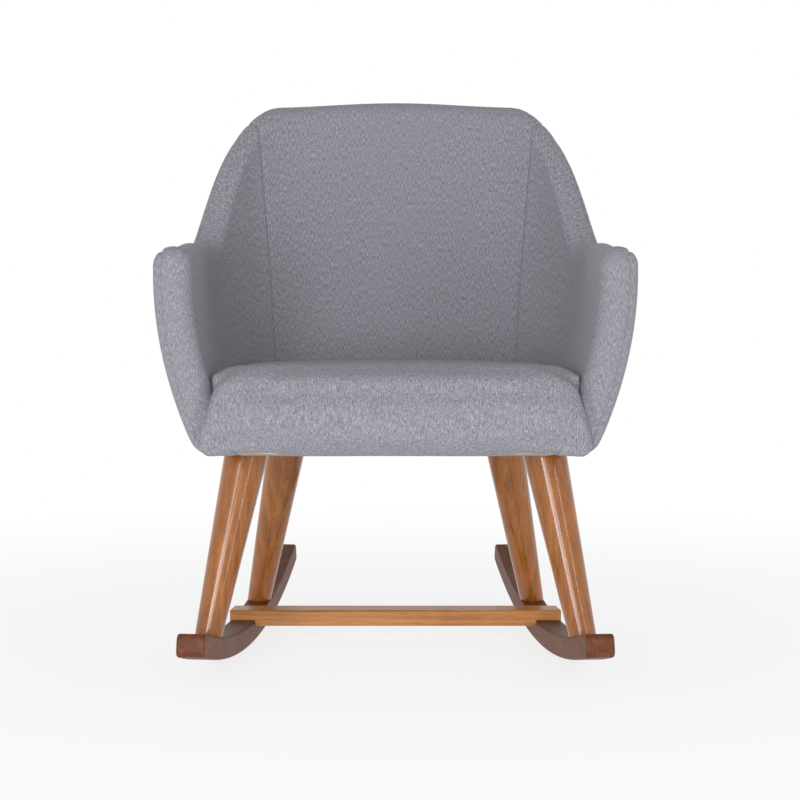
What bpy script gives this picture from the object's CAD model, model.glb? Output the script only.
# %% [markdown]
# # A padded tub rocking chair
# The chair is a low padded shell of back and arms, a filled seat, four splayed legs and two curved rockers.
# The hard parts come from a finished CAD model, loaded first as a fixed frame. The cloth, the padding, the
# stitching and every finish are made here, in the same place and at the same size. Sizes with a name in capitals
# are in millimetres, and MM turns them into Blender's metres.

# %% Load the frame
import math
import bmesh
import bpy
import numpy as np
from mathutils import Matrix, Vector
from mathutils.kdtree import KDTree


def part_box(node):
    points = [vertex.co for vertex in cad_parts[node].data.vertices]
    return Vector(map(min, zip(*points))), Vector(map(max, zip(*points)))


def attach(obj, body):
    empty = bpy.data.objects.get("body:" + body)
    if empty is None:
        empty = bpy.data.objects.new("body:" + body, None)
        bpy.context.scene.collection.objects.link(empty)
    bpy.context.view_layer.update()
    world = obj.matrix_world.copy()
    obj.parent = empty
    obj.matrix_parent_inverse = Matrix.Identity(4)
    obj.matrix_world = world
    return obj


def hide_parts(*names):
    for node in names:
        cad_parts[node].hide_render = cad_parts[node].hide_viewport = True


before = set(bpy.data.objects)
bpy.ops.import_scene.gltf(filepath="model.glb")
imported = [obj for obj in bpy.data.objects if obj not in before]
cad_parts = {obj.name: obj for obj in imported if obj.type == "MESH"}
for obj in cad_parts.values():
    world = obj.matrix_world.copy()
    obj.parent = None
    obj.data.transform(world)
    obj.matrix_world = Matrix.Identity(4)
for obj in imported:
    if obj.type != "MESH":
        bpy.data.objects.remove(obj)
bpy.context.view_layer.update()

MM = 0.001
scene = bpy.context.scene

# %% [markdown]
# ## Camera
# A chair's proportions read best from straight in front, at about half its height, with the view tipped down a
# little. A wide lens close by would make the legs spread and the arms swell. A longer lens from two and a half
# metres keeps upright edges nearly upright, so that way was chosen.

# %% Camera
camera = bpy.data.objects.new("camera", bpy.data.cameras.new("camera"))
scene.collection.objects.link(camera)
camera.location = (0.0, -2.515, 0.468)
camera.rotation_euler = (math.radians(90 - 2.4), 0, 0)
camera.data.lens = 74.9
camera.data.shift_x = 0.0056
scene.camera = camera
print("camera at", [round(value, 3) for value in camera.location])

# %% [markdown]
# ## Small helpers
# Colours are written as the hex codes that a paint chart gives, and a shader wants them in linear light, so one
# function converts them. Another adds a node with its settings and links, because a tree written node by node in
# full would bury what it does. Meshes are made from lists of points and faces, with their place in the points.


# %% Colours
def linear(code):
    """A colour written as sRGB hex, as the linear values that a shader wants."""
    parts = [int(code[start:start + 2], 16) / 255 for start in (1, 3, 5)]
    parts = [part / 12.92 if part <= 0.04045 else ((part + 0.055) / 1.055) ** 2.4 for part in parts]
    return (*parts, 1.0)


print("middle grey in linear light", round(linear("#808080")[0], 3))


# %% Nodes and materials
def add(tree, kind, settings=None, values=None, links=None):
    """One node: its settings, its sockets' values, and what feeds them."""
    node = tree.nodes.new(kind)
    for name, value in (settings or {}).items():
        setattr(node, name, value)
    for name, value in (values or {}).items():
        node.inputs[name].default_value = value
    for name, source in (links or {}).items():
        tree.links.new(source, node.inputs[name])
    return node


def new_material(name, finish):
    """An empty material with its shader in place; finish holds what is the same all over the surface."""
    material = bpy.data.materials.new(name)
    material.use_nodes = True
    tree = material.node_tree
    tree.nodes.clear()
    shader = add(tree, "ShaderNodeBsdfPrincipled", values=finish)
    add(tree, "ShaderNodeOutputMaterial", links={"Surface": shader.outputs["BSDF"]})
    return material, tree, shader


def colour_steps(tree, source, *steps):
    """A ramp from a grey value to colours, given as (place, hex) pairs."""
    ramp = add(tree, "ShaderNodeValToRGB", links={"Fac": source})
    first, last = ramp.color_ramp.elements
    first.position, last.position = steps[0][0], steps[-1][0]
    first.color, last.color = linear(steps[0][1]), linear(steps[-1][1])
    for place, code in steps[1:-1]:
        ramp.color_ramp.elements.new(place).color = linear(code)
    return ramp.outputs["Color"]


print("materials so far", len(bpy.data.materials))


# %% Meshes
def mesh_piece(name, points, faces, smooth=True):
    """A mesh object at the origin, with its place in its points, in metres."""
    data = bpy.data.meshes.new(name)
    data.from_pydata([tuple(point) for point in points], [], faces)
    data.validate()
    if smooth:
        data.polygons.foreach_set("use_smooth", [True] * len(data.polygons))
    piece = bpy.data.objects.new(name, data)
    scene.collection.objects.link(piece)
    return piece


def settle(piece):
    """Apply every modifier of a piece, so that it is a plain mesh."""
    bpy.context.view_layer.update()
    made = bpy.data.meshes.new_from_object(piece.evaluated_get(bpy.context.evaluated_depsgraph_get()))
    piece.modifiers.clear()
    piece.data = made
    return piece


# %% Sheets of cloth
JOIN_WITHIN = 1e-5                # metres


def join_doubles(piece, turn_outwards=False):
    """Join doubled points, turn the faces outwards if asked, and return the area in square metres."""
    work = bmesh.new()
    work.from_mesh(piece.data)
    bmesh.ops.remove_doubles(work, verts=work.verts, dist=JOIN_WITHIN)
    if turn_outwards:
        bmesh.ops.recalc_face_normals(work, faces=work.faces)
    area = sum(face.calc_area() for face in work.faces)
    work.to_mesh(piece.data)
    work.free()
    return area


def thicken(piece, thick, offset):
    """Give a sheet its thickness; offset -1 grows it inwards, 0 to both sides."""
    solid = piece.modifiers.new("thickness", "SOLIDIFY")
    solid.thickness, solid.offset = thick, offset
    return settle(piece)


print("points closer than", JOIN_WITHIN * 1000, "mm are joined")

# %% [markdown]
# ## Studio floor
# In a studio, a paper sweep curves up behind the product, so no line shows where the floor ends. A real sweep could
# be modelled, but it would show from behind. One flat disc does instead: near the chair it is partly matt board,
# which takes a faint shadow, and further off it is plain white.

# %% The floor
DISC_SIDES, DISC_RADIUS = 96, 12.0
turns = np.linspace(0, 2 * math.pi, DISC_SIDES + 1)[:-1]
disc = [(DISC_RADIUS * math.cos(turn), DISC_RADIUS * math.sin(turn), 0) for turn in turns]
floor = mesh_piece("floor", [(0, 0, 0), *disc],
                   [(0, 1 + k, 1 + (k + 1) % DISC_SIDES) for k in range(DISC_SIDES)], smooth=False)

# Matt painted board. Its roughness leaves a soft shadow and no reflection of the legs.
pale, tree, shader = new_material("matt_studio_floor", {"Roughness": 0.85})
shader.inputs["Base Color"].default_value = linear("#fbfbfd")
place = add(tree, "ShaderNodeTexCoord")
reach = add(tree, "ShaderNodeVectorMath", {"operation": "LENGTH"}, links={0: place.outputs["Object"]})
fade = add(tree, "ShaderNodeMapRange", {"interpolation_type": "SMOOTHSTEP"},
           {"From Min": 0.4, "From Max": 2.0, "To Min": 0.8}, {"Value": reach.outputs["Value"]})
white = add(tree, "ShaderNodeEmission", values={"Color": (1, 1, 1, 1), "Strength": 1.0})
blend = add(tree, "ShaderNodeMixShader",
            links={"Fac": fade.outputs["Result"], 1: shader.outputs["BSDF"], 2: white.outputs["Emission"]})
tree.links.new(blend.outputs["Shader"], tree.nodes["Material Output"].inputs["Surface"])
floor.data.materials.append(pale)
print("floor", round(floor.dimensions.x, 1), "m across")

# %% [markdown]
# ## Light
# The chair stands in an even white surround. A world that is equally bright all round would wash out the padding,
# so this one darkens towards the top: the cloth that faces up is lit less, and the back and the arms keep their
# form. A broad softbox in front lights the seat and the arm fronts. Two tall strips at the sides give the lacquer
# its bright upright lines, which a softbox alone would smear over the whole leg.

# %% The world
world = bpy.data.worlds.new("studio")
world.use_nodes = True
tree = world.node_tree
heading = add(tree, "ShaderNodeSeparateXYZ", links={"Vector": add(tree, "ShaderNodeTexCoord").outputs["Generated"]})
above = add(tree, "ShaderNodeMapRange", {"interpolation_type": "SMOOTHSTEP"},
            {"From Min": 0.25, "From Max": 0.85, "To Min": 1.0, "To Max": 0.35}, {"Value": heading.outputs["Z"]})
tree.links.new(above.outputs["Result"], tree.nodes["Background"].inputs["Color"])
tree.nodes["Background"].inputs["Strength"].default_value = 1.0
scene.world = world
scene.view_settings.view_transform = "Standard"
print("world", world.name, "with view transform", scene.view_settings.view_transform)


# %% The lamps
def lamp(name, place, aim, size, power):
    """A flat lamp that faces a point; places and sizes in metres, power in watts."""
    data = bpy.data.lights.new(name, "AREA")
    data.shape = "RECTANGLE"
    data.size, data.size_y = size
    data.energy = power
    made = bpy.data.objects.new(name, data)
    made.location = place
    made.rotation_euler = (Vector(aim) - Vector(place)).to_track_quat("-Z", "Y").to_euler()
    scene.collection.objects.link(made)
    return made


lamp("front_softbox", (-0.7, -3.1, 0.4), (0, -0.2, 0.4), (1.4, 0.7), 21)
lamp("left_strip", (-0.97, -2.66, 0.7), (0, -0.2, 0.25), (0.3, 1.8), 15)
lamp("right_strip", (1.4, -2.14, 0.7), (0, -0.2, 0.25), (0.1, 1.8), 7)

# %% [markdown]
# ## The rule of the shell
# The back and arms are one wall that follows a line on the underside of the chair, from one arm's front round the
# back to the other. It could be sculpted by hand, but then each cloth panel would have to be fitted to it by eye.
# Here, at each distance along the line, the wall has a height, a lean and a thickness, and everything in cloth is
# drawn on that rule. The same rule shaped the CAD shell, which the cloth has to cover.

# %% Driving sizes of the wall
BASE_POINTS = np.array([(0, 135), (90, 130), (165, 95), (208, 25), (226, -75), (234, -190), (238, -345)], float)
UNDERSIDE, WALL_HALF, BOTTOM_ROUND = 302.5, 25.0, 14.0
BACK_TOP, BACK_CROWN = 840.0, 9.0             # top of the back, and how far it falls towards its corners
ARM_TOP_REAR, ARM_TOP_FRONT = 598.0, 580.0
WING_START, WING_END = 138.0, 270.0           # where along the line the top edge falls from back to arm
BACK_LEAN, BACK_HOLLOW = 0.2, 12.0
BACK_TO_ARM = (110, 320)                      # where along the line the back's lean gives way to the arm's swell
CORNER_FLARE = 30.0                           # how far the corners of the back stand out
FLARE_RISE, FLARE_FALL, FLARE_TOP = (40, 180), (220, 500), 560.0
ARM_SWELL, ARM_SWELL_Z = 63.0, 550.0          # how far the arms bulge outwards, and the height where they do most
ARM_RAKE, RAKE_REACH = 0.09, 260.0            # backward slope of the arm fronts, and how far back it is felt
ARM_ROUND = 20.0                              # the round of the arm fronts' edges
print("wall", 2 * WALL_HALF, "mm thick, from", UNDERSIDE, "to", BACK_TOP)


# %% The line under the wall
def smooth_line(points, first, last, count=4000):
    """A line of even curvature through the points, with its directions at both ends; gives places and runs."""
    chords = np.hypot(*np.diff(points, axis=0).T)
    knots = np.concatenate([[0], np.cumsum(chords)])
    size = len(points)
    matrix, right = np.zeros((size, size)), np.zeros((size, 2))
    matrix[0, 0] = matrix[-1, -1] = 1
    right[0], right[-1] = first, last
    for k in range(1, size - 1):
        before, after = chords[k - 1], chords[k]
        matrix[k, k - 1], matrix[k, k], matrix[k, k + 1] = after, 2 * (before + after), before
        slope_before = (points[k] - points[k - 1]) / before
        slope_after = (points[k + 1] - points[k]) / after
        right[k] = 3 * (after * slope_before + before * slope_after)
    slopes = np.linalg.solve(matrix, right)
    spots = np.linspace(0, knots[-1], count)
    part = np.clip(np.searchsorted(knots, spots, side="right") - 1, 0, size - 2)
    long = chords[part][:, None]
    t = ((spots - knots[part]) / chords[part])[:, None]
    start, end = points[part], points[part + 1]
    line = ((2 * t**3 - 3 * t**2 + 1) * start + (t**3 - 2 * t**2 + t) * long * slopes[part]
            + (-2 * t**3 + 3 * t**2) * end + (t**3 - t**2) * long * slopes[part + 1])
    runs = np.gradient(line, axis=0)
    runs /= np.hypot(*runs.T)[:, None]
    walked = np.concatenate([[0], np.cumsum(np.hypot(*np.diff(line, axis=0).T))])
    return walked, line, runs


ARM_FRONT_BACK = 33.0      # the arm's front face stands this far back from the line's end
WALKED, LINE, RUNS = smooth_line(BASE_POINTS, (1, 0), (0, -1))
ARM_END = WALKED[-1] - ARM_FRONT_BACK
print("base line", round(WALKED[-1], 1), "mm; arm ends at", round(ARM_END, 1))


# %% Height and lean of the wall
def ease(value, low, high):
    """0 below low, 1 above high, with a soft change between."""
    part = np.clip((value - low) / (high - low), 0, 1)
    return part * part * (3 - 2 * part)


def mix(first, second, amount):
    return first + (second - first) * amount


def rim_height(along):
    """Height of the top edge at a distance along the line from the middle of the back."""
    along = np.abs(along)
    back = BACK_TOP - BACK_CROWN * (along / WING_START) ** 2
    arm = mix(ARM_TOP_REAR, ARM_TOP_FRONT, ease(along, WING_END, ARM_END))
    return mix(np.maximum(back, ARM_TOP_REAR), arm, ease(along, WING_START, WING_END))


def wall_shift(along, height):
    """How far outside the line the middle of the wall stands: the back leans and the arms swell."""
    rise = height - UNDERSIDE
    back = BACK_LEAN * rise + BACK_HOLLOW * np.sin(np.pi * rise / (BACK_TOP - UNDERSIDE))
    below = np.maximum(ARM_SWELL_Z - height, 0) / (ARM_SWELL_Z - UNDERSIDE)
    far = np.abs(along)
    flare = CORNER_FLARE * ease(far, *FLARE_RISE) * (1 - ease(far, *FLARE_FALL)) * ease(height, UNDERSIDE, FLARE_TOP)
    return mix(back, ARM_SWELL * (1 - below**2), ease(far, *BACK_TO_ARM)) + flare


print("arm top", rim_height(WING_END), "mm at its rear and", rim_height(ARM_END), "at its front")


# %% Points of the wall
def wall_point(along, shift, height):
    """Points of the wall, shift millimetres outside the line; along is negative on the sitter's right."""
    side, far = np.where(along < 0, -1.0, 1.0), np.abs(along)
    x, y = np.interp(far, WALKED, LINE[:, 0]), np.interp(far, WALKED, LINE[:, 1])
    run_x, run_y = np.interp(far, WALKED, RUNS[:, 0]), np.interp(far, WALKED, RUNS[:, 1])
    rake = ARM_RAKE * ease(far, ARM_END - RAKE_REACH, ARM_END) * (height - UNDERSIDE)
    return np.stack([side * (x - run_y * shift), y + run_x * shift + rake, height + 0 * x], axis=-1)


def on_wall(along, offset, height):
    """Points at a true distance from the middle of the wall, positive outwards."""
    steep = (wall_shift(along, height + 1) - wall_shift(along, height - 1)) / 2
    return wall_point(along, wall_shift(along, height) + offset * np.hypot(1, steep), height)


print("back top", on_wall(np.array(0.0), 0, rim_height(0.0)).round(1))

# %% [markdown]
# ## The grid that all cloth panels share
# The cover is cut from four panels: one wraps the outside, one lines the back, and one lines each arm and turns
# round its front. Panels modelled one by one would leave gaps where they meet. So the whole wall gets one grid of
# points first, in rows that stand across the wall and columns that run along it, and the panels are cut from it.
# The rows and columns crowd together beside each seam, because the groove there is only a few millimetres wide.

# %% Rows that crowd at a seam
def graded(low, high, step, marks=()):
    """Even steps of about this size, with finer rows on both sides of each mark."""
    rows = set(np.linspace(low, high, max(2, round((high - low) / step) + 1)).round(4))
    for mark in marks:
        rows = {row for row in rows if abs(row - mark) > 7.5 or row in (low, high)}
        rows |= {round(mark + away, 4) for away in (-6.5, -4.5, -3, -1.8, -0.8, 0, 0.8, 1.8, 3, 4.5, 6.5)}
    return np.array(sorted(row for row in rows if low - 1e-6 <= row <= high + 1e-6))


print("rows round a mark", len(graded(0, 60, 6.0, [30])), "instead of", len(graded(0, 60, 6.0)))

# %% Where the seam of the inside back runs
SEAM_X, SEAM_Z, SEAM_SPREAD = 181.5, 360.0, 0.085    # how far to the side it stands at a height, and how it spreads
LEVELS = np.linspace(UNDERSIDE, BACK_TOP, 120)


def seam_along(height):
    """How far along the line the inside-back seam is at each height."""
    tries = np.linspace(60, 260, 401)
    wanted = SEAM_X + SEAM_SPREAD * (height - SEAM_Z)
    found = []
    for level, aim in zip(np.atleast_1d(height), np.atleast_1d(wanted)):
        x = on_wall(tries, -WALL_HALF, np.full_like(tries, level))[:, 0]
        found.append(np.interp(aim, x, tries))
    return np.array(found)


SEAM_TABLE = seam_along(LEVELS)
crossing = LEVELS[np.argmin(np.abs(rim_height(SEAM_TABLE) - WALL_HALF - LEVELS))]
SEAM_TOP = float(np.interp(crossing, LEVELS, SEAM_TABLE))
print("inside-back seam reaches the top edge", round(SEAM_TOP, 1), "mm from the middle, at", round(crossing, 1))

# %% Rows along the wall, and columns across it
SEAM_TURN = math.radians(53)      # where the cover seam lies on the round top edge, from the outside
UP = 88                           # points up each side of the wall

half_rows = graded(0, ARM_END - ARM_ROUND, 6.0, [SEAM_TOP])
# Three stretches: the wall itself, the round of the arm's front edge, and the front face closing to its middle.
edge_turns = np.radians([12, 24, 34, 43, 50, 55, 58, 60, 62, 65, 69, 74, 80, 86, 90])
half_along = np.concatenate([half_rows, ARM_END - ARM_ROUND * (1 - np.sin(edge_turns)), np.full(4, ARM_END)])
half_inset = np.concatenate([0 * half_rows, ARM_ROUND * (1 - np.cos(edge_turns)), [21.5, 23, 24.2, 25]])
half_beyond = np.concatenate([0 * half_rows, 0 * edge_turns, [0.2, 0.3, 0.4, 0.4]])
SEAM_RING = len(half_rows) + 7    # the ring of the arm's front edge that carries the seam
cap_turns = np.radians(np.linspace(0, 180, 17))
near_seam = SEAM_TURN + np.radians([-14, -9, -5.5, -2.5, 0, 2.5, 5.5, 9, 14])
cap_turns = np.array(sorted([turn for turn in cap_turns if abs(turn - SEAM_TURN) > 0.3] + list(near_seam)))
print(len(half_along), "rows to each side of the middle,", len(cap_turns), "points over the top edge")


# %% One row of the grid
def lined_up(along, heights, cap):
    """Slide the points on the inside so that one row runs down the slanting back seam."""
    seam = np.interp(np.minimum(heights, crossing), LEVELS, SEAM_TABLE)
    far = abs(along)
    if far <= SEAM_TOP:
        moved = far * seam / SEAM_TOP
    else:
        moved = seam + (far - SEAM_TOP) * (ARM_END - seam) / (ARM_END - SEAM_TOP)
        moved = far + (moved - far) * (1 - ease(heights, cap - 80, cap))
    return math.copysign(1, along) * moved if far > 0 else 0 * heights


def section(along, beyond, inset):
    """One section of the wall: up the outside, over the round top and down the inside."""
    radius = WALL_HALF - inset
    cap = float(rim_height(along)) - WALL_HALF
    corner = min(max(BOTTOM_ROUND - inset / 2, 1.0), 2 * radius)
    bend = np.linspace(0, np.pi / 2, 6)[:-1]
    heights = np.concatenate([UNDERSIDE + corner * (1 - np.cos(bend)), np.linspace(UNDERSIDE + corner, cap, UP)])
    reach = np.concatenate([radius - corner * (1 - np.sin(bend)), np.full(UP, radius)])
    place = along + math.copysign(beyond, along)
    arc = cap_turns[1:-1]
    steep = float(wall_shift(place, cap + 1) - wall_shift(place, cap - 1)) / 2
    shift = float(wall_shift(place, cap)) + radius * (np.cos(arc) * math.hypot(1, steep) + np.sin(arc) * steep)
    outside = on_wall(np.full(len(heights), place), reach, heights)
    over = wall_point(np.full(len(arc), place), shift, cap + radius * np.sin(arc))
    slid = lined_up(along, heights, cap) + math.copysign(beyond, along)
    inside = on_wall(slid, np.full(len(heights), -radius), heights)
    return np.concatenate([outside, over, inside[::-1]])


print("points in one row", len(section(1e-6, 0, 0)))

# %% The whole grid
order = list(range(len(half_along) - 1, 0, -1)) + list(range(len(half_along)))
signs = [-1] * (len(half_along) - 1) + [1] * len(half_along)
grid = np.array([section(sign * max(half_along[k], 1e-6), half_beyond[k], half_inset[k])
                 for k, sign in zip(order, signs)])
ROWS, ROUND = grid.shape[:2]
MIDDLE = len(half_along) - 1
SEAM_COLUMN = UP + 5 + int(np.argmin(np.abs(cap_turns - SEAM_TURN))) - 1
SEAM_ROW = int(np.argmin(np.abs(half_along - SEAM_TOP)))
print("wall grid", ROWS, "x", ROUND)

# %% [markdown]
# ## Seam grooves and the swell of the padding
# A sewn seam pulls the cloth down to the board behind it, and between the seams the foam pushes the cloth out. A
# dark line in the material would show the seam from one side only. Here the grid itself sinks into a narrow groove
# along each seam and rises with the distance from it, so the groove catches the light from every side. Beside the
# arm fronts the swell is less, because the cloth is pulled tight round them.

# %% Seam lines
def finer(points, step=1.0):
    """The same path with points every millimetre."""
    away = np.linalg.norm(np.diff(points, axis=0), axis=1)
    walked = np.concatenate([[0], np.cumsum(away)])
    spots = np.arange(0, walked[-1], step)
    return np.stack([np.interp(spots, walked, points[:, k]) for k in range(3)], axis=-1)


front, rear = MIDDLE - SEAM_RING, MIDDLE + SEAM_RING
cover_seam = np.concatenate([grid[front, 3:SEAM_COLUMN], grid[front:rear + 1, SEAM_COLUMN],
                             grid[rear, 3:SEAM_COLUMN][::-1]])
back_seams = [grid[MIDDLE + turn * SEAM_ROW, SEAM_COLUMN:] for turn in (-1, 1)]
seam_points = np.concatenate([finer(cover_seam)] + [finer(path) for path in back_seams])
print("cover seam", round(len(finer(cover_seam)) / 1000, 2), "m")

# %% How far the cloth sinks and rises
GROOVE, GROOVE_WIDTH = 2.6, 3.0   # depth and half width of a sewn seam
SWELL, SWELL_REACH = 3.0, 45.0    # how far the padding lifts the cloth, and how far from a seam it does so
OUTSIDE_SWELL, TIGHT_SWELL = 0.8, 0.5

tree_of_seams = KDTree(len(seam_points))
for number, point in enumerate(seam_points):
    tree_of_seams.insert(point, number)
tree_of_seams.balance()
away = np.array([tree_of_seams.find(point)[2] for point in grid.reshape(-1, 3)]).reshape(ROWS, ROUND)
swell = SWELL * (1 - np.exp(-(away / SWELL_REACH) ** 2)) - GROOVE * np.exp(-(away / GROOVE_WIDTH) ** 2)
swell[:, :SEAM_COLUMN] = np.minimum(swell[:, :SEAM_COLUMN], OUTSIDE_SWELL)
row_along = np.array([half_along[abs(row - MIDDLE)] for row in range(ROWS)])
most = TIGHT_SWELL + (SWELL - TIGHT_SWELL) * (1 - ease(row_along, ARM_END - 90, ARM_END - 8))
swell = np.minimum(swell, most[:, None])
foot_fade = ease(grid[..., 2], UNDERSIDE, UNDERSIDE + 30)
swell = np.where(swell > 0, swell * foot_fade, swell)
print("cloth moves from", round(float(swell.min()), 2), "to", round(float(swell.max()), 2), "mm")

# %% Move the grid outwards and inwards
UNDER_CAD_FACE = 0.6              # the cloth starts this far below the wall's face, so its swell stays in size
along_i = np.gradient(grid, axis=0)
round_j = np.gradient(grid, axis=1)
normals = np.cross(round_j, along_i)
length = np.linalg.norm(normals, axis=2, keepdims=True)
normals = np.where(length > 1e-9, normals / np.maximum(length, 1e-9), 0)
normals *= np.sign(np.sum(normals[MIDDLE, 40] * np.array([0, 1, 0])))
front_faces = np.abs(np.arange(ROWS) - MIDDLE) >= len(half_along) - 5
normals[front_faces] = (0, -1, 0)
shell = grid + normals * (swell - UNDER_CAD_FACE)[..., None]
print("shell spans", [round(value) for value in np.ptp(shell.reshape(-1, 3), axis=0)], "mm")

# %% [markdown]
# ## The crease beside the seat
# The seat's front roll is pulled tight against the arm fronts, and a dark crease shows between them. Two shapes
# that only touch would leave a hard edge without depth. So the arm fronts sink back a few millimetres right beside
# the roll, and the shadow in that hollow is the crease.

# %% The roll's width and the crease
SEAT_TOP = 417.0
NOSE_LOW, NOSE_HIGH = 268.0, 240.0               # half the width of the front roll at its foot and near its top
NOSE_CURVE = 1.4
NOSE_CORNER = 46.0
CORNER_HIGH, CORNER_WIDE = NOSE_CORNER * 0.6, NOSE_CORNER * 0.8
CREASE_DEEP, CREASE_WIDE = 6.0, 7.0
ARM_FACE = -285.0                                # the arm fronts lie ahead of this


def nose_width(height):
    """Half the width of the seat's front roll at a height."""
    share = np.clip((height - UNDERSIDE) / (SEAT_TOP - UNDERSIDE), 0, 1)
    near_top = np.clip((height - (SEAT_TOP - CORNER_HIGH)) / CORNER_HIGH, 0, 1)
    return mix(NOSE_LOW, NOSE_HIGH, share**NOSE_CURVE) - CORNER_WIDE * (1 - np.sqrt(1 - near_top**2))


beside = np.abs(shell[..., 0]) - nose_width(shell[..., 2])
crease = (CREASE_DEEP * np.exp(-(np.maximum(beside, 0) / CREASE_WIDE) ** 2)
          * (1 - ease(shell[..., 2], SEAT_TOP - 8, SEAT_TOP + 8)))
shell[..., 1] += np.where(shell[..., 1] < ARM_FACE, crease, 0)
print("front roll is", round(2 * float(nose_width(350.0))), "mm wide halfway up")

# %% [markdown]
# ## Cut the cloth panels
# Real panels are cut flat from a roll, and the warp runs up each one. So each panel keeps a flat layout as its UV
# map: the distance along the wall one way and the distance from the seam the other, in metres. Unwrapping by the
# program would also give a flat layout, but its turn and scale would differ from panel to panel, and the weave
# with them. Each panel then gets the thickness of the cloth.

# %% The flat layout
arc = np.concatenate([np.zeros((ROWS, 1)), np.cumsum(np.linalg.norm(np.diff(grid, axis=1), axis=2), axis=1)], axis=1)
arc -= arc[:, SEAM_COLUMN:SEAM_COLUMN + 1]
half_u = np.concatenate([half_rows, ARM_END - ARM_ROUND + ARM_ROUND * edge_turns,
                         ARM_END - ARM_ROUND + ARM_ROUND * np.pi / 2 + np.array([1.5, 3, 4.2, 5])])
print("layout runs", round(half_u[-1]), "mm to each side of the middle")


# %% A panel from the grid
CLOTH = 1.2                       # thickness of the upholstery cloth with its backing


def panel(name, keep, turned):
    """The grid faces that keep(row, column) picks, as one piece; turned lays the arm's front face out past its edge."""
    used, points, faces, layout = {}, [], [], []

    def corner(row, column):
        key = (row, column)
        if key not in used:
            used[key] = len(points)
            points.append(shell[row, column] * MM)
        return used[key]

    def flat_place(row, column):
        far = half_u[abs(row - MIDDLE)]
        if column < SEAM_COLUMN and abs(row - MIDDLE) >= SEAM_RING and turned:
            far = 2 * half_u[-1] - far
        return math.copysign(far, row - MIDDLE) * MM, -abs(arc[row, column]) * MM

    for row in range(ROWS - 1):
        for column in range(ROUND - 1):
            if keep(row, column):
                square = ((row, column), (row + 1, column), (row + 1, column + 1), (row, column + 1))
                faces.append([corner(*place) for place in square])
                layout += [flat_place(*place) for place in square]
    piece = mesh_piece(name, points, faces)
    piece.data.uv_layers.new(name="cloth").data.foreach_set("uv", np.array(layout).ravel())
    join_doubles(piece)
    return thicken(piece, CLOTH * MM, -1)


print("upholstery cloth", CLOTH, "mm thick")


# %% The four panels
def is_outer(row, column):
    """The outside cover ends at the seam on the top edge and on the arm fronts."""
    return column < SEAM_COLUMN and front <= row < rear


def lines(first, last):
    """A rule for the faces that line the wall between two rows."""
    def keep(row, column):
        return not is_outer(row, column) and first <= row < last
    return keep


outer_cover = panel("outside_cover_cloth", is_outer, False)
back_lining = panel("inside_back_cloth", lines(MIDDLE - SEAM_ROW, MIDDLE + SEAM_ROW), True)
right_lining = panel("inside_arm_cloth_right", lines(0, MIDDLE - SEAM_ROW), True)
left_lining = panel("inside_arm_cloth_left", lines(MIDDLE + SEAM_ROW, ROWS), True)
for made in (outer_cover, back_lining, right_lining, left_lining):
    print(made.name, len(made.data.polygons), "faces")

# %% [markdown]
# ## Seat cushion
# The seat is foam under a tight cloth. It fills the space between the arms and ends in a soft front roll that
# stands a little ahead of the arm fronts and spreads over their feet. It could be sculpted, or swelled from a plain
# box by a cloth simulation alone, but then its outline would be hard to hold. Here a closed form is drawn a little
# small, and a short simulation with air pressure inside gives the crown that real stuffing gives. How far a point
# may move is capped, so the seat keeps its size.

# %% Sizes of the seat
SEAT_FRONT, NOSE_BACK, NOSE_ROUND = -326.0, -296.0, 24.0
SEAT_FOOT, SEAT_OVER_FRAME = UNDERSIDE - 3.5, UNDERSIDE + 12
WRAP_BACK = -262.0                # the cloth wraps under the front rail as far back as this
FOOT_CORNER, REAR_CORNER = NOSE_CORNER * 0.35, 8.0
INTO_ARM = 2.0                    # the cushion presses this far into the arm padding
TUCK, TUCK_HIGH = 15.0, 48.0      # the roll's foot is drawn back this far, and from this height down
CROWN = 3.5
CAP = 7.0                         # how far the simulation may lift the cloth

levels = np.linspace(SEAT_FOOT, SEAT_TOP, 12)
spots = np.linspace(0, ARM_END, 500)
tub = [on_wall(spots, -WALL_HALF - SWELL + INTO_ARM, np.full_like(spots, level)) for level in levels]


def tub_width(y, height):
    """Half the space between the arms at a place, from the rule of the wall."""
    widths = [np.interp(-y, -line[:, 1], line[:, 0], left=0.0) for line in tub]
    return np.interp(height, levels, widths)


print("space between the arms", round(2 * float(tub_width(-150.0, 400.0))), "mm at mid depth")


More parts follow.
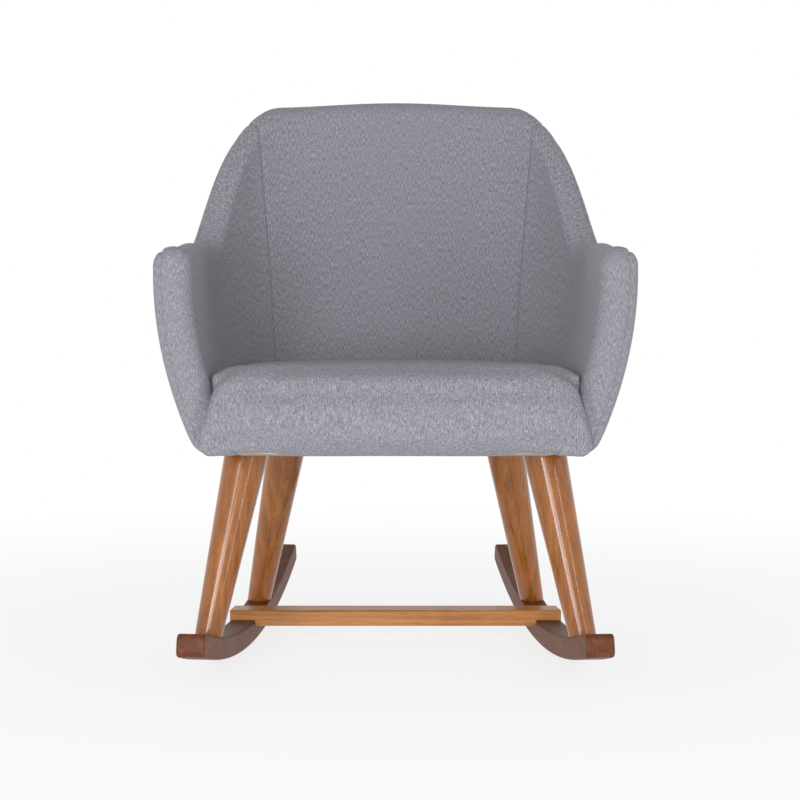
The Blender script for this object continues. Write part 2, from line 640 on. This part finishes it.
# %% One outline of the seat
def seat_ring(y, inset, count=40):
    """One outline of the seat across the chair, for the sitter's left half, from the bottom middle to the top."""
    on_nose = y <= NOSE_BACK
    top = SEAT_TOP - CAP * 0.6 - inset
    foot = SEAT_FOOT + inset * 0.1 if y <= WRAP_BACK else SEAT_OVER_FRAME
    corner = CORNER_HIGH if on_nose else REAR_CORNER
    heights = np.concatenate([np.linspace(foot, top - corner, count),
                              top - corner + corner * np.sin(np.linspace(0, np.pi / 2, 12)[1:])])
    over = 1 - np.cos(np.arcsin(np.clip((heights - (top - corner)) / corner, 0, 1)))
    if on_nose:
        share = np.clip((heights - foot) / (top - foot), 0, 1)
        widths = mix(NOSE_LOW - inset * 0.6, NOSE_HIGH - inset * 0.6, share**NOSE_CURVE) - CORNER_WIDE * over
        below = 1 - np.clip((heights - foot) / FOOT_CORNER, 0, 1)
        widths = widths - FOOT_CORNER * (1 - np.sqrt(np.clip(1 - below**2, 0, 1)))
    else:
        widths = np.maximum(tub_width(y, heights) - corner * over - inset, 0.5)
    across = np.linspace(1, 0, 26)[1:]
    bottom = [(widths[0] * share, foot) for share in across[::-1]]
    crown = CROWN * (1 - across**2) * (0.8 if on_nose else 1)
    lid = [(widths[-1] * share, top + lift) for share, lift in zip(across, crown)]
    outline = bottom + list(zip(widths, heights)) + lid
    tuck = TUCK * max(NOSE_BACK - y, 0) / (NOSE_BACK - SEAT_FRONT)
    return np.array([(x, y + tuck * (1 - min((z - foot) / TUCK_HIGH, 1)) ** 2, z) for x, z in outline])


print("points in half an outline", len(seat_ring(0.0, 0.0)))

# %% The seat's closed form
rear_y = float(np.min([line[0, 1] for line in tub]))
stations = [(y, 0.0) for y in np.linspace(rear_y - 1, NOSE_BACK + 2, 90)] + [(NOSE_BACK, 0.0)]
stations += [(SEAT_FRONT + 2 + NOSE_ROUND * (1 - math.sin(turn)), NOSE_ROUND * (1 - math.cos(turn)))
             for turn in np.linspace(0, np.pi / 2, 10)]
half_rings = np.array([seat_ring(y, inset) for y, inset in stations])
mirrored = half_rings[:, ::-1] * np.array([-1, 1, 1])
rings = np.concatenate([half_rings, mirrored[:, 1:-1]], axis=1)
count, size = rings.shape[:2]
faces = [[r * size + k, r * size + (k + 1) % size, (r + 1) * size + (k + 1) % size, (r + 1) * size + k]
         for r in range(count - 1) for k in range(size)]
faces += [list(range(size))[::-1], [(count - 1) * size + k for k in range(size)]]
seat = mesh_piece("seat_cushion", rings.reshape(-1, 3) * MM, faces)
print("seat form", [round(value * 1000) for value in seat.dimensions])


# %% Air pressure inside a form
def points_of(piece):
    """A mesh's points as an array, in metres."""
    flat = np.empty(len(piece.data.vertices) * 3, np.float32)
    piece.data.vertices.foreach_get("co", flat)
    return flat.reshape(-1, 3).astype(float)


def blow_up(piece, pressure=4.0, frames=20):
    """Press a closed form outwards with air, by a short cloth simulation without gravity."""
    cloth = piece.modifiers.new("cloth", "CLOTH")
    cloth.settings.use_pressure = True
    cloth.settings.uniform_pressure_force = pressure
    cloth.settings.effector_weights.gravity = 0
    cloth.settings.quality = 5
    cloth.point_cache.frame_start, cloth.point_cache.frame_end = 1, frames
    for frame_number in range(1, frames + 1):
        scene.frame_set(frame_number)
    settle(piece)
    scene.frame_set(1)


print("simulation", "on")


# %% Swell the seat
def puff(piece, voxel, cap):
    """Even out a closed form, swell it so that no point moves further than cap, and smooth it."""
    even = piece.modifiers.new("even", "REMESH")
    even.mode, even.voxel_size = "VOXEL", voxel
    settle(piece)
    before = points_of(piece)
    blow_up(piece)
    moved = points_of(piece) - before
    away = np.linalg.norm(moved, axis=1, keepdims=True)
    held = before + moved * np.minimum(1, cap / np.maximum(away, 1e-9))
    held[:, 2] = np.maximum(held[:, 2], before[:, 2].min())
    piece.data.vertices.foreach_set("co", held.astype(np.float32).ravel())
    piece.data.update()
    smoother = piece.modifiers.new("soften", "SMOOTH")
    smoother.iterations, smoother.factor = 6, 0.5
    finer_cloth = piece.modifiers.new("finer", "SUBSURF")
    finer_cloth.levels = finer_cloth.render_levels = 1
    settle(piece)
    piece.data.polygons.foreach_set("use_smooth", [True] * len(piece.data.polygons))
    print(piece.name, "moved up to", round(float(away.max()) * 1000, 1), "mm, held to", cap * 1000)


puff(seat, 5 * MM, CAP * MM)

# %% [markdown]
# ## What repeats: stitches and staples
# A row of small stitches follows the cover seam, and a row of staples holds the dust cloth below. Each is one small
# bar repeated many times, and a copied object for each would be slow to change. A Geometry Nodes tree does it: the
# path is cut into equal steps, one bar lies on each step and turns with the path, and the result becomes a plain
# mesh.

# %% The repeating tree
def bar_tree(name):
    """A tree that sets one bar along a path every Spacing; named inputs give its sizes and finish."""
    tree = bpy.data.node_groups.new(name, "GeometryNodeTree")
    face = tree.interface
    face.new_socket("Geometry", in_out="INPUT", socket_type="NodeSocketGeometry")
    for word in ("Spacing", "Length", "Width"):
        face.new_socket(word, in_out="INPUT", socket_type="NodeSocketFloat")
    face.new_socket("Sides", in_out="INPUT", socket_type="NodeSocketInt")
    face.new_socket("Finish", in_out="INPUT", socket_type="NodeSocketMaterial")
    face.new_socket("Geometry", in_out="OUTPUT", socket_type="NodeSocketGeometry")
    given = add(tree, "NodeGroupInput").outputs
    path = add(tree, "GeometryNodeMeshToCurve", links={"Mesh": given["Geometry"]})
    steps = add(tree, "GeometryNodeResampleCurve", {"mode": "LENGTH"},
                links={"Curve": path.outputs["Curve"], "Length": given["Spacing"]})
    bar = add(tree, "GeometryNodeMeshCylinder",
              links={"Vertices": given["Sides"], "Radius": given["Width"], "Depth": given["Length"]})
    run = add(tree, "GeometryNodeInputTangent")
    turn = add(tree, "FunctionNodeAlignRotationToVector", {"axis": "Z"}, links={"Vector": run.outputs["Tangent"]})
    spread = add(tree, "GeometryNodeInstanceOnPoints",
                 links={"Points": steps.outputs["Curve"], "Instance": bar.outputs["Mesh"],
                        "Rotation": turn.outputs["Rotation"]})
    solid = add(tree, "GeometryNodeRealizeInstances", links={"Geometry": spread.outputs["Instances"]})
    painted = add(tree, "GeometryNodeSetMaterial",
                  links={"Geometry": solid.outputs["Geometry"], "Material": given["Finish"]})
    add(tree, "NodeGroupOutput", links={"Geometry": painted.outputs["Geometry"]})
    return tree


BARS = bar_tree("bars_along_a_path")
print("nodes in the repeating tree", len(BARS.nodes))


# %% A row of bars
def row_of_bars(name, path, finish, sizes, sides=6, closed=False):
    """One piece of bars along a path of points in millimetres."""
    points = np.asarray(path) * MM
    data = bpy.data.meshes.new(name)
    edges = [(k, k + 1) for k in range(len(points) - 1)] + ([(len(points) - 1, 0)] if closed else [])
    data.from_pydata([tuple(point) for point in points], edges, [])
    piece = bpy.data.objects.new(name, data)
    scene.collection.objects.link(piece)
    repeat = piece.modifiers.new("row", "NODES")
    repeat.node_group = BARS
    names = {item.name: item.identifier for item in BARS.interface.items_tree if item.in_out == "INPUT"}
    for word, value in {**sizes, "Sides": sides, "Finish": finish}.items():
        repeat[names[word]] = value
    settle(piece)
    print(name, len(piece.data.polygons) // (sides + 2), "bars")
    return piece


print("inputs of a row", [item.name for item in BARS.interface.items_tree if item.in_out == "INPUT"])

# %% [markdown]
# ## Upholstery cloth
# The cover is a woven polyester in a grey melange: light and dark threads lie side by side, a little violet, with
# short streaks along the warp. A picture of the weave could be tiled over it, but it would show its repeats. Here
# the colour and the bump come from noise stretched along the warp in each panel's own layout. Real threads are
# about 0.4 mm wide, too fine to see from here, so the streaks are drawn 1 mm wide and 7 mm long. The seat was
# swelled after it was drawn and has no flat layout, so its cloth reads the place in the object instead.

# %% The cloth finish
# Sockets 0, 2 and 3 of a Mix node are its amount and the two numbers that it mixes.
STREAK, STREAK_LONG, STREAK_DEEP, FLECK = 1.0, 7.0, 3.0, 1.3
MELANGE = ("#505057", "#86868e", "#c0c0c8")      # dark thread, middle grey and light thread


def melange(name, layout="UV"):
    """Grey melange cloth: rough and dull, with a faint sheen from its loose fibres; layout says what it follows."""
    material, tree, shader = new_material(name, {"Roughness": 0.92, "Specular IOR Level": 0.25, "Sheen Weight": 0.12,
                                                 "Sheen Roughness": 0.45, "Sheen Tint": (0.9, 0.9, 0.95, 1)})
    where = add(tree, "ShaderNodeTexCoord").outputs[layout]
    flat = layout == "UV"
    stretched = (1000 / STREAK, 1000 / STREAK_LONG, 1) if flat else (1000 / STREAK, 1000 / STREAK_DEEP,
                                                                     1000 / STREAK_LONG)
    even = (1000 / FLECK, 1000 / FLECK, 1) if flat else (1000 / FLECK,) * 3
    warp = add(tree, "ShaderNodeMapping", values={"Scale": stretched}, links={"Vector": where})
    streaks = add(tree, "ShaderNodeTexNoise", values={"Scale": 1.0, "Detail": 3.0, "Roughness": 0.65},
                  links={"Vector": warp.outputs["Vector"]})
    weft = add(tree, "ShaderNodeMapping", values={"Scale": even}, links={"Vector": where})
    flecks = add(tree, "ShaderNodeTexNoise", values={"Scale": 1.0, "Detail": 2.0, "Roughness": 0.7},
                 links={"Vector": weft.outputs["Vector"]})
    both = add(tree, "ShaderNodeMix", {"data_type": "FLOAT"}, {0: 0.45},
               {2: streaks.outputs["Fac"], 3: flecks.outputs["Fac"]})
    tree.links.new(colour_steps(tree, both.outputs[0], *zip((0.31, 0.5, 0.71), MELANGE)), shader.inputs["Base Color"])
    bump = add(tree, "ShaderNodeBump", values={"Strength": 0.35, "Distance": 0.0006},
               links={"Height": both.outputs[0]})
    tree.links.new(bump.outputs["Normal"], shader.inputs["Normal"])
    return material


cover_cloth = melange("woven_melange_polyester")
seat_cloth = melange("woven_melange_polyester_seat", "Object")
print("cloth finishes", cover_cloth.name, "and", seat_cloth.name)

# %% [markdown]
# ## Sewing thread
# The stitches are bonded polyester, a little darker than the cloth and smoother, so they catch a small light. The
# twist of the thread is noise of about 1 mm, which is all that shows of it.

# %% The thread finish
thread, tree, shader = new_material("bonded_polyester_thread", {"Roughness": 0.6})
where = add(tree, "ShaderNodeTexCoord").outputs["Object"]
twist = add(tree, "ShaderNodeTexNoise", values={"Scale": 900.0}, links={"Vector": where})
tree.links.new(colour_steps(tree, twist.outputs["Fac"], (0.3, "#4a4a52"), (0.7, "#6a6a73")),
               shader.inputs["Base Color"])
print("thread finish", thread.name)

# %% [markdown]
# ## Lacquered wood
# The legs, rockers and stretcher are stained beech under a glossy lacquer. Gloss on the wood itself would turn the
# whole leg shiny. Lacquer is a clear coat, so the shader's coat carries the sharp bright lines while the wood below
# stays fairly soft. The rockers have a thin, dull coat, and the frame inside has none. The grain is noise stretched
# along each piece: up the legs, along the rockers and across the stretcher, with beech's own short rays in it.

# %% The wood finishes
def beech(name, colours, grain, gloss=0.07, coat=1.0, rough=0.42):
    """Stained beech; grain gives how many millimetres the figure runs in x, y and z."""
    material, tree, shader = new_material(name, {"Roughness": rough, "Specular IOR Level": 0.2, "Coat Weight": coat,
                                                 "Coat Roughness": gloss, "Coat IOR": 1.5})
    where = add(tree, "ShaderNodeTexCoord").outputs["Object"]
    wide = add(tree, "ShaderNodeMapping", values={"Scale": [1000 / size for size in grain]},
               links={"Vector": where})
    figure = add(tree, "ShaderNodeTexNoise", values={"Scale": 1.0, "Detail": 5.0, "Roughness": 0.6,
                                                     "Distortion": 0.6}, links={"Vector": wide.outputs["Vector"]})
    fine = add(tree, "ShaderNodeMapping", values={"Scale": [1000 / max(size / 7, 0.7) for size in grain]},
               links={"Vector": where})
    rays = add(tree, "ShaderNodeTexNoise", values={"Scale": 1.0, "Detail": 2.0},
               links={"Vector": fine.outputs["Vector"]})
    both = add(tree, "ShaderNodeMix", {"data_type": "FLOAT"}, {0: 0.35},
               {2: figure.outputs["Fac"], 3: rays.outputs["Fac"]})
    tree.links.new(colour_steps(tree, both.outputs[0], *zip((0.3, 0.5, 0.7), colours)), shader.inputs["Base Color"])
    bump = add(tree, "ShaderNodeBump", values={"Strength": 0.08, "Distance": 0.0003},
               links={"Height": both.outputs[0]})
    tree.links.new(bump.outputs["Normal"], shader.inputs["Normal"])
    return material


leg_wood = beech("lacquered_beech_leg", ("#724010", "#92561f", "#a96d31"), (9, 9, 150), gloss=0.12, coat=0.75)
rocker_wood = beech("lacquered_beech_rocker", ("#492412", "#653720", "#7c4b2f"), (9, 150, 9), gloss=0.3, coat=0.08,
                    rough=0.55)
bar_wood = beech("lacquered_beech_stretcher", ("#8f5629", "#b07642", "#c48d5c"), (160, 9, 7), gloss=0.25, coat=0.25)
frame_wood = beech("sawn_beech_frame", ("#a98a60", "#c4a679", "#d8be92"), (60, 60, 60), coat=0.0, rough=0.75)
print("wood finishes", [finish.name for finish in (leg_wood, rocker_wood, bar_wood, frame_wood)])

# %% [markdown]
# ## Steel, plywood, webbing and dust cloth
# These are hidden under the cloth or small. A single flat colour would look like plastic when the chair is turned
# over, so each has a little unevenness of a real size: the spangle of zinc, the figure of the veneer, the threads
# of the webbing and the fibres of the spun cloth. One function makes them all, because they differ only in sizes.

# %% The hidden and small finishes
def mottled(name, low, high, size, finish, depth=0.0002):
    """A plain material with a little unevenness of a real size in millimetres."""
    material, tree, shader = new_material(name, finish)
    where = add(tree, "ShaderNodeTexCoord").outputs["Object"]
    spots = add(tree, "ShaderNodeTexNoise", values={"Scale": 1000 / size, "Detail": 3.0}, links={"Vector": where})
    tree.links.new(colour_steps(tree, spots.outputs["Fac"], (0.3, low), (0.7, high)), shader.inputs["Base Color"])
    bump = add(tree, "ShaderNodeBump", values={"Strength": 0.3, "Distance": depth},
               links={"Height": spots.outputs["Fac"]})
    tree.links.new(bump.outputs["Normal"], shader.inputs["Normal"])
    return material


steel = mottled("zinc_plated_steel", "#8f9094", "#b9babd", 4, {"Metallic": 1.0, "Roughness": 0.34})
ply = mottled("bent_plywood", "#b08f62", "#cfb287", 30, {"Roughness": 0.7})
webbing_cloth = mottled("jute_webbing", "#8c7448", "#b59b6b", 1.5, {"Roughness": 0.95}, 0.0005)
felt = mottled("black_spunbond_dust_cloth", "#151517", "#2b2b2e", 2, {"Roughness": 0.95}, 0.0004)
staple_steel = mottled("galvanised_staple_wire", "#9a9b9e", "#c6c7c9", 3, {"Metallic": 1.0, "Roughness": 0.3})
print("finishes so far", len(bpy.data.materials))

# %% Finishes on the CAD pieces
FINISHES = {
    leg_wood: ["leg_front_left", "leg_front_right", "leg_rear_left", "leg_rear_right"],
    rocker_wood: ["rocker_left", "rocker_right"],
    bar_wood: ["stretcher"],
    frame_wood: [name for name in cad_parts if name.startswith(("seat_rail", "corner_block"))],
    steel: ["stretcher_screws", "rocker_screws", "leg_bolts", "leg_tee_nuts", "shell_bolts"],
    ply: ["shell_core"],
    webbing_cloth: ["webbing_lengthwise", "webbing_crosswise"],
}
for finish, names in FINISHES.items():
    for name in names:
        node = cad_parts[name]
        for place in node.material_slots:
            place.material = finish
        if not node.material_slots:
            node.data.materials.append(finish)
print(sum(len(names) for names in FINISHES.values()), "CAD nodes keep their shape and take a finish")

# %% [markdown]
# ## Dust cloth
# A thin black cloth closes the underside. It is cut to the outline of the shell, pulled flat and stapled. A cloth
# simulation would let it sag, but a stretched one hardly does, so it is drawn as rings that shrink towards the
# middle and sink by about a millimetre. Its edge follows the rule of the shell, so it fits under every part of it.

# %% The dust cloth's outline
EDGE_IN = 15.0                    # how far inside the shell's outer face the cloth ends
low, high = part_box("dust_cover")
outline = np.array([on_wall(np.array(float(spot)), WALL_HALF - EDGE_IN, UNDERSIDE)
                    for spot in np.linspace(-ARM_END + 6, ARM_END - 6, 90)])
outline[:, 1] = np.maximum(outline[:, 1], WRAP_BACK - 14)
outline[:, 1] = np.minimum(outline[:, 1], high.y * 1000 - 1)
print("dust cloth is", [round(value) for value in np.ptp(outline[:, :2], axis=0)], "mm")

# %% The dust cloth
DUST_RINGS, DUST_SAG, DUST_THICK = 22, 1.2, 0.8
middle = np.array([0.0, -90.0])
points, faces = [], []
for share in np.linspace(1, 0.04, DUST_RINGS):
    for x, y in middle + (outline[:, :2] - middle) * share:
        points.append((x, y, low.z * 1000 + 0.2 - DUST_SAG * (1 - share**2)))
wide = len(outline)
for ring in range(DUST_RINGS - 1):
    for k in range(wide):
        here, there = ring * wide + k, ring * wide + (k + 1) % wide
        faces.append([here, here + wide, there + wide, there])
faces.append([(DUST_RINGS - 1) * wide + k for k in range(wide)])
dust_cloth = mesh_piece("dust_cloth", np.array(points) * MM, faces)
flat_area = join_doubles(dust_cloth, turn_outwards=True)
thicken(dust_cloth, DUST_THICK * MM, 0)
print("dust cloth area", round(flat_area, 4), "m2")

# %% Its staples
staple_path = [(x + (middle[0] - x) * 0.05, y + (middle[1] - y) * 0.05, low.z * 1000 - 0.3) for x, y, z in outline]
staples = row_of_bars("dust_cloth_staples", staple_path, staple_steel,
                      {"Spacing": 32 * MM, "Length": 9 * MM, "Width": 0.5 * MM}, closed=True)

# %% [markdown]
# ## Stitches of the cover seam
# A machine stitch runs beside the seam all the way round: up one arm front, along the top and down the other. The
# stitches could be drawn in the cloth's bump, but a stitch stands proud and throws a small shadow. So they are
# bars of thread on a path that lies a little above the cloth, three grid steps to the inside of the seam.

# %% The stitches
STITCH_LIFT, STITCH_STEPS = 0.4, 3
lifted = shell + normals * STITCH_LIFT
low_row, high_row, column = front - STITCH_STEPS, rear + STITCH_STEPS, SEAM_COLUMN + STITCH_STEPS
stitch_path = np.concatenate([lifted[low_row, 8:column], lifted[low_row:high_row + 1, column],
                              lifted[high_row, 8:column][::-1]])
stitches = row_of_bars("cover_seam_stitches", stitch_path, thread,
                       {"Spacing": 5.5 * MM, "Length": 3.2 * MM, "Width": 0.45 * MM})

# %% [markdown]
# ## What each piece stands for
# Each cloth piece takes its finish, goes with the chair's one body, and replaces the plain CAD solids that held its
# place. The padded pieces say how full they are, and the dust cloth says that it is a stretched sheet, so that
# others can use them as soft goods.

# %% Finishes, body and replaced nodes
PIECES = {
    outer_cover: (cover_cloth, "upholstery", ["outside_cover", "outside_wadding"]),
    back_lining: (cover_cloth, "upholstery", ["inside_back_cover", "inside_foam"]),
    right_lining: (cover_cloth, "upholstery", ["inside_arm_cover_right"]),
    left_lining: (cover_cloth, "upholstery", ["inside_arm_cover_left"]),
    seat: (seat_cloth, "upholstery", ["seat_cover", "seat_foam"]),
    dust_cloth: (felt, "dust_cloth", ["dust_cover"]),
    staples: (staple_steel, "zinc_steel", []),
    stitches: (thread, "upholstery", []),
}
for piece, (finish, slot, nodes) in PIECES.items():
    piece.data.materials.clear()
    piece.data.materials.append(finish)
    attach(piece, "root")
    if nodes:
        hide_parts(*nodes)
print(len(PIECES), "pieces stand for", sum(len(nodes) for _, _, nodes in PIECES.values()), "CAD nodes")
